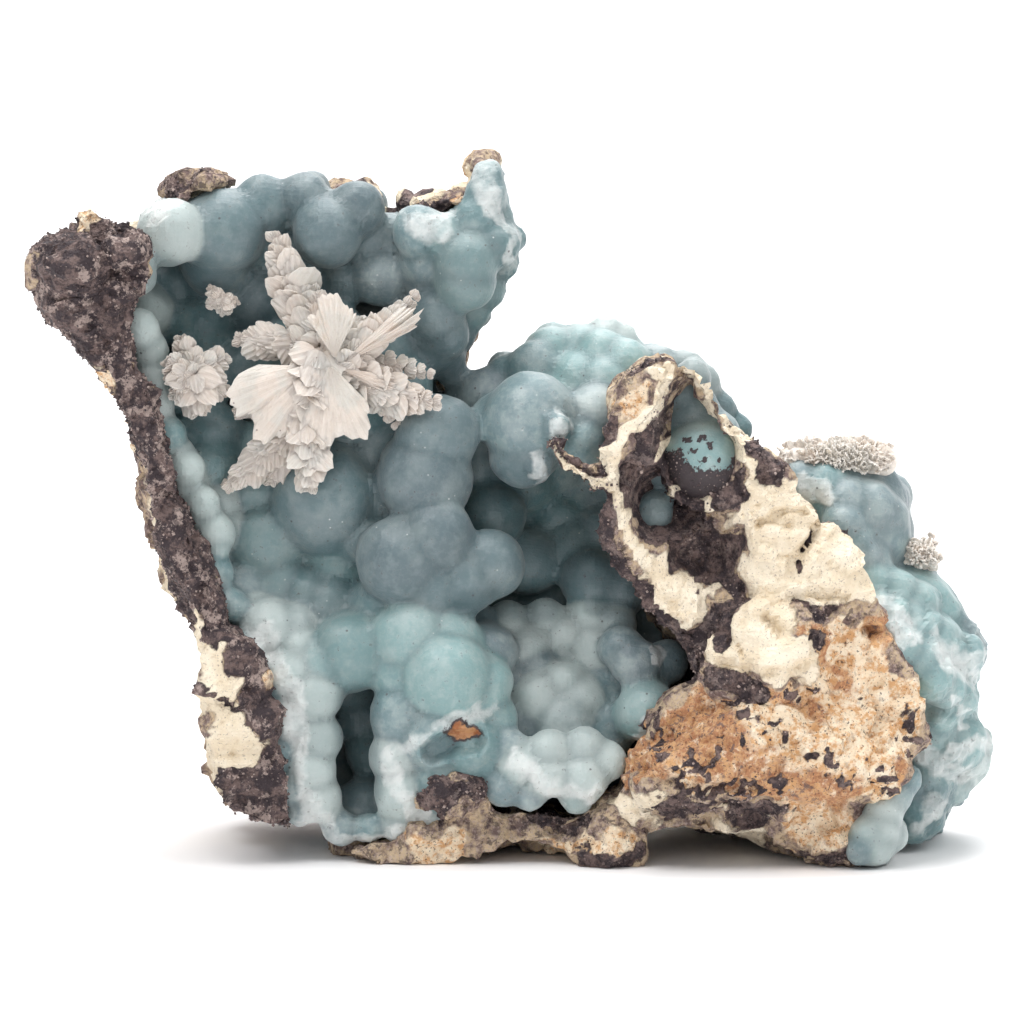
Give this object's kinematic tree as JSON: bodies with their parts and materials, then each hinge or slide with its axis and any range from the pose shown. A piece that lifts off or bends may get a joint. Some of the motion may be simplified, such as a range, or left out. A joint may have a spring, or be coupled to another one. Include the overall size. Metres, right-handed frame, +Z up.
{
  "type": "smithsonite specimen",
  "caption": "Blue-green botryoidal smithsonite lining a hollow in dark and cream host rock, with sprays of pale bladed crystals.",
  "frame": {"origin": "centre of the specimen's box, on the surface it rests on", "axes": "+X to the right along the specimen's length, +Y backwards, away from the side with the hollow, +Z up"},
  "size_m": [0.0965, 0.0428, 0.0697],
  "materials": {
    "host_rock": "broken, sandy and dull, with black manganese and orange iron stains",
    "smithsonite": "waxy, slightly translucent, finely frosted",
    "pale_crystal": "pearly, translucent, sparkling",
    "beige_crystal": "sugary, translucent"
  },
  "bodies": {
    "root": {"matrix": "host_rock", "vug_crust": "smithsonite", "pocket_crust": "smithsonite", "right_crust": "smithsonite", "foot_crust": "smithsonite", "crystal_spray": "pale_crystal", "crystal_rosette": "pale_crystal", "crystal_button": "pale_crystal", "crystal_druse": "beige_crystal", "crystal_tuft": "beige_crystal"}
  },
  "joints": []
}
